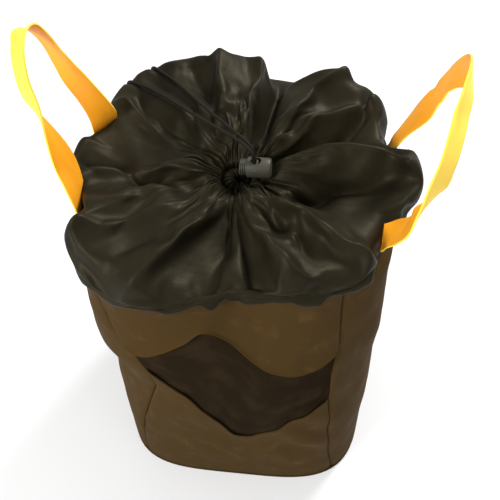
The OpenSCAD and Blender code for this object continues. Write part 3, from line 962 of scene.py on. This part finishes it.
casing = lay("casing_cloth", 18, 300, casing_place, (0.021, 0.058), skirt_cloth, ring=True)
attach(casing, "bag")
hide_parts("drawcord_casing")

# ---- Handles ----
# Gold polyester webbing, 25 mm wide, painted paler lemon on its outer face as painted light
# and deeper gold on its inner face as painted shade. Each loop's ends are sewn flat
# between the wall and the skirt, and the webbing twists on its way up and down.


def strap_webbing(name, light, mid, dark):
    made, shader, start = finish(name, 0.6, 0.2, 0.06, sRGB(255, 220, 140), 0.4)
    point, across, along = flat_cloth(start)
    wale = (across * (2 * pi / 0.0026)).math("SINE")
    pick = (along * (2 * pi / 0.0015) + wale * 1.6).math("SINE")
    edge = (across - 0.0125).math("ABSOLUTE").within(0.0106, 0.0118)
    grime = speckle(point, 45, 4, (1, 3, 1)).within(0.5, 0.72) * 0.35
    tone = (pick * 0.14 + wale * 0.12 + 0.7 - edge * 0.3).colours(mid, light)
    tone = tone.node("Mix", {"data_type": "RGBA"}, {0: grime, 6: tone, 7: dark}, 2)
    coat_with(shader, tone, grime * 0.4 + 0.5, wale * 0.8 + pick * 0.6 + edge * 1.5, 0.6, 0.0004)
    return made


# One webbing in two copies: the outer face's lemon is painted light, the inner face's gold is
# painted shade.
gold_painted_shade = strap_webbing("strap_inner_face_painted_shade", sRGB(246, 170, 36), sRGB(224, 136, 18), sRGB(150, 88, 18))
lemon_painted_light = strap_webbing("strap_outer_face_painted_light", sRGB(255, 226, 82), sRGB(246, 196, 52), sRGB(190, 140, 40))
# From the rim's centre to the line that each handle turns on, and that line's height. Then half
# the webbing's width, and how far out and round the wall its ends are sewn.
hinge_x, hinge_z = 129.674, 372
strap_half, sewn_r, sewn_angle = 12.5, 138.9, radians(21)

# Along each loop from one end to the other: the place along the rim, the height above it, how
# far it leans out, and how far the inner face has turned from looking at the bag, in degrees.
left_loop = [
    (49.8, 0, 0, 0), (47, 14, 0, 2), (41, 30, 2, -14), (33, 51, 8, -20), (29, 83, 16, 14),
    (26, 108, 22, 46), (20, 130, 26, 44), (9, 146, 27.5, 42), (-6, 149.5, 28, 50),
    (-18, 145, 27, 84), (-27, 134, 23, 112), (-31, 118, 18, 122), (-32, 100, 12, 112),
    (-34, 80, 6, 94), (-41, 52, -1, 84), (-47, 28, -4, 66), (-49.5, 12, -1, 32),
    (-49.8, 0, 0, 0)]
right_loop = [
    (-49.8, 0, 0, 0), (-54, 12, 7, -16), (-66, 32, 14.6, -22), (-73, 51.7, 18.8, -10),
    (-75, 71.4, 26, -27), (-73, 88.3, 32, -36), (-62, 103, 37.6, -30), (-47, 113.7, 41.4, -28),
    (-30, 121, 44.5, -26), (-15, 129, 48, -20), (3, 131, 50, -8), (21, 120, 46.5, 6),
    (31, 105, 40, 6), (33, 89, 33.5, -4), (33, 74, 27, -4), (46, 42, 15.4, 6), (49.8, 10, 2, 6),
    (49.8, 0, 0, 0)]


def strap(side, turn, loop):
    """One length of webbing: from inside the rim up, round and back down inside the rim."""
    to_bag = Matrix.Rotation(radians(turn), 3, "Z")
    middle_of_rim = Vector((rim_x, rim_y, 0))
    steps = 150
    samples = [on_curve(loop, i / steps) for i in range(steps + 1)]
    middle = [Vector((hinge_x + out, y, hinge_z + up)) for y, up, out, twist in samples]
    centre, wide = [], []
    for i, p in enumerate(middle):
        ahead = (middle[min(i + 1, steps)] - middle[max(i - 1, 0)]).normalized()
        if i in (0, steps):
            ahead = Vector((0, 0, 1 if i == 0 else -1))
        face = Matrix.Rotation(radians(samples[i][3]), 3, ahead) @ Vector((-1, 0, 0))
        centre.append(p)
        wide.append(face.cross(ahead).normalized() * strap_half)
    # the sewn ends below the rim, which follow the round of the wall
    ends = []
    for end in (loop[0][0], loop[-1][0]):
        leg = []
        for z in (339, 345, 351, 357, 363, 367, 370):
            angle = sewn_angle * (1 if end > 0 else -1)
            share = ramp(z, 363, 372)
            round_wall = Vector((sewn_r * cos(angle), sewn_r * sin(angle), z))
            leg.append((
                round_wall * (1 - share) + Vector((hinge_x, end, z)) * share,
                Vector((-sin(angle), cos(angle), 0)) * (1 - share) + Vector((0, 1, 0)) * share))
        ends.append(leg)
    first, last = ends
    for leg, run in ((first, wide[0]), (last, wide[-1])):
        sign = 1 if run.dot(leg[-1][1]) > 0 else -1
        leg[:] = [(p, across.normalized() * strap_half * sign) for p, across in leg]
    centre = [p for p, across in first] + centre + [p for p, across in reversed(last)]
    wide = [across for p, across in first] + wide + [across for p, across in reversed(last)]

    def place(u, w):
        i = min(round(w * (len(centre) - 1)), len(centre) - 1)
        return middle_of_rim + to_bag @ (centre[i] + wide[i] * (2 * u - 1))

    length = sum((b - a).length for a, b in zip(centre, centre[1:])) * 0.001
    obj = lay(f"{side}_handle_strap", 8, len(centre) - 1, place, (0.025, length), lemon_painted_light)
    obj.data.materials.append(gold_painted_shade)
    thicken(obj, 0.0016, 0).material_offset = 1
    rounded = obj.modifiers.new("selvedge", "BEVEL")
    rounded.width, rounded.segments, rounded.limit_method = 0.0005, 2, "ANGLE"
    smoother = obj.modifiers.new("smooth", "SUBSURF")
    smoother.levels = smoother.render_levels = 1
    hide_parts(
        f"{side}_handle_web", f"{side}_handle_front_end", f"{side}_handle_back_end")
    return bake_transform(obj)


strap("left", 182, left_loop)
strap("right", -2, right_loop)

# ---- Rope tie loop ----
# A short bar of the same webbing across the board, sewn down at its two flat ends. The rope's
# lower end is tied to it.


def tie_place(u, w):
    y = (u - 0.5) * 20
    path = through([(-35, 0, 6.4), (-24, 0, 6.5), (-20, 0, 14), (-11, 0, 24), (0, 0, 27.5),
                    (11, 0, 24), (20, 0, 14), (24, 0, 6.5), (35, 0, 6.4)], 2)
    p = path[round(w * (len(path) - 1))]
    return p.x, y, p.z


# The tie takes the inner face's gold copy, whose deeper tone is painted shade.
tie = lay("rope_tie_strap", 6, 60, tie_place, (0.02, 0.11), gold_painted_shade)
thicken(tie, 0.0016, 0)
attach(tie, "bag")
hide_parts("rope_tie_loop")

# ---- Cord lock ----
# Moulded nylon: a barrel with a ribbed spring button in its left end. Pressing the button
# lines its hole up with the barrel's and lets both strands run.


def moulded(name, light, dark):
    made, shader, start = finish(name, 0.5, 0.32)
    point = start.node("TexCoord", out=3)
    grain = speckle(point, 900, 3)
    scuff = speckle(point, 260, 5, (4, 1, 1)).within(0.55, 0.7)
    coat_with(
        shader, (grain * 0.5 + scuff * 0.5).colours(dark, light), 0.46 + scuff * 0.2,
        grain + scuff * 0.6, 0.15, 0.00015)
    return made


lock_plastic = moulded("lock_moulding", sRGB(82, 80, 66), sRGB(44, 43, 35))
lock_centre = throat + Vector((16.607, 0, 18))
hole_r, button_hole_at = 4.42, -4


def turned_part(name, profile, material, hole_at):
    """A moulding turned about the lock's axis, with its upright cord hole cut through."""
    bm = bmesh.new()
    verts = [bm.verts.new((x, 0, r)) for x, r in profile]
    edges = [bm.edges.new(pair) for pair in zip(verts, verts[1:])]
    bmesh.ops.spin(
        bm, geom=verts + edges, cent=(0, 0, 0), axis=(1, 0, 0), angle=2 * pi, steps=72,
        use_merge=True)
    bmesh.ops.remove_doubles(bm, verts=bm.verts, dist=1e-4)
    bmesh.ops.recalc_face_normals(bm, faces=bm.faces)
    for vert in bm.verts:
        vert.co = (vert.co + lock_centre) * 0.001
    obj = piece_of(name, bm, material)
    bm = bmesh.new()
    bmesh.ops.create_cone(
        bm, cap_ends=True, segments=48, radius1=hole_r * 0.001, radius2=hole_r * 0.001, depth=0.04,
        matrix=Matrix.Translation((lock_centre + Vector((hole_at, 0, 0))) * 0.001))
    drill = piece_of("drill", bm)
    cut = obj.modifiers.new("cord_hole", "BOOLEAN")
    cut.operation, cut.object, cut.solver = "DIFFERENCE", drill, "EXACT"
    edge = obj.modifiers.new("eased_edges", "BEVEL")
    edge.width, edge.segments, edge.limit_method, edge.angle_limit = 0.0004, 3, "ANGLE", radians(40)
    graph = bpy.context.evaluated_depsgraph_get()
    baked = bpy.data.meshes.new_from_object(obj.evaluated_get(graph))
    obj.modifiers.clear()
    obj.data = baked
    bpy.data.objects.remove(drill)
    for face in obj.data.polygons:
        face.use_smooth = True
    obj.data.set_sharp_from_angle(angle=radians(35))
    return obj


barrel_left, barrel_right, socket_end = -7.92, 13.08, 11.475
button_right = 1.925
barrel = turned_part("lock_barrel_moulding", [
    (barrel_left, 7.45), (barrel_left, 8.4), (barrel_left + 0.6, 9), (barrel_right - 2.2, 9),
    (barrel_right - 0.9, 8.6), (barrel_right - 0.2, 7.7), (barrel_right, 6.4), (barrel_right, 0),
    (socket_end, 0), (socket_end, 7.4), (barrel_left, 7.45)], lock_plastic, 0)
button_left = barrel_left - 6.5
ribs = [(button_left, 0), (button_left, 6.2), (button_left + 0.5, 7.0), (button_left + 1.0, 7.25)]
for k in range(3):
    x = button_left + 1.3 + k * 1.6
    ribs += [(x, 7.25), (x + 0.15, 6.5), (x + 0.65, 6.5), (x + 0.8, 7.25)]
button = turned_part(
    "lock_button_moulding", ribs + [(button_right, 7.25), (button_right, 0)], lock_plastic,
    button_hole_at)
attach(barrel, "lock")
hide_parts("lock_barrel")
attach(button, "button")
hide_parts("lock_button")

spring_steel = steel("spring_steel", 1, 1200, sRGB(150, 150, 152), sRGB(215, 215, 218), 0.2, 0.25)
bm = bmesh.new()
bm.from_mesh(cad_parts["lock_spring"].data)
bmesh.ops.remove_doubles(bm, verts=bm.verts, dist=1e-6)
for face in bm.faces:
    face.smooth = True
spring = piece_of("lock_spring_coil", bm, spring_steel)
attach(spring, "lock")
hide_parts("lock_spring")
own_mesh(spring)

# ---- Floor and light ----
# A plain pale floor and three large soft lamps, with a pale sky that only fills the shade.
# None of them is part of the bag.


def seen_directly(shade):
    """1 where the camera or a reflection sees the floor or the sky, and 0 for their light."""
    return sum(shade.node("LightPath", out=kind) for kind in (0, 3, 6)).math("MINIMUM", 1)


bm = bmesh.new()
bmesh.ops.create_grid(bm, x_segments=1, y_segments=1, size=4)
floor = piece_of("floor", bm)
floor.location.z = -0.0005
paper = bpy.data.materials.new("white_paper")
paper.use_nodes = True
tree = paper.node_tree
shader = tree.nodes["Principled BSDF"]
shader.inputs["Base Color"].default_value = (0.55, 0.55, 0.55, 1)
shader.inputs["Roughness"].default_value = 0.9
shader.inputs["Emission Color"].default_value = (1, 1, 1, 1)
glow = Shade(tree)
lit = tree.nodes.new("ShaderNodeAddShader")
emit = glow.node("Emission", {}, {"Strength": seen_directly(glow) * 0.55})
tree.links.new(shader.outputs[0], lit.inputs[0])
tree.links.new(emit.socket, lit.inputs[1])
tree.links.new(lit.outputs[0], tree.nodes["Material Output"].inputs["Surface"])
floor.data.materials.append(paper)


def lamp(name, place, aim, size, power):
    made = bpy.data.lights.new(name, "AREA")
    made.shape, made.size, made.energy = "DISK", size, power
    obj = bpy.data.objects.new(name, made)
    obj.location = place
    obj.rotation_euler = (Vector(place) - Vector(aim)).to_track_quat("Z", "Y").to_euler()
    scene.collection.objects.link(obj)


lamp("key", (-1.1, -1.2, 1.2), (0, 0, 0.22), 0.7, 32)
lamp("fill", (1.4, -1.2, 1.2), (0, 0, 0.2), 1.2, 4)
lamp("top", (0.7, 0.9, 1.5), (0, 0, 0.38), 0.5, 34)
world = bpy.data.worlds.new("sky")
scene.world = world
world.use_nodes = True
sky = world.node_tree.nodes["Background"]
start = Shade(world.node_tree)
strength = seen_directly(start) * 0.7 + 0.3
world.node_tree.links.new(strength.socket, sky.inputs["Strength"])
sky.inputs["Color"].default_value = (1, 1, 1, 1)
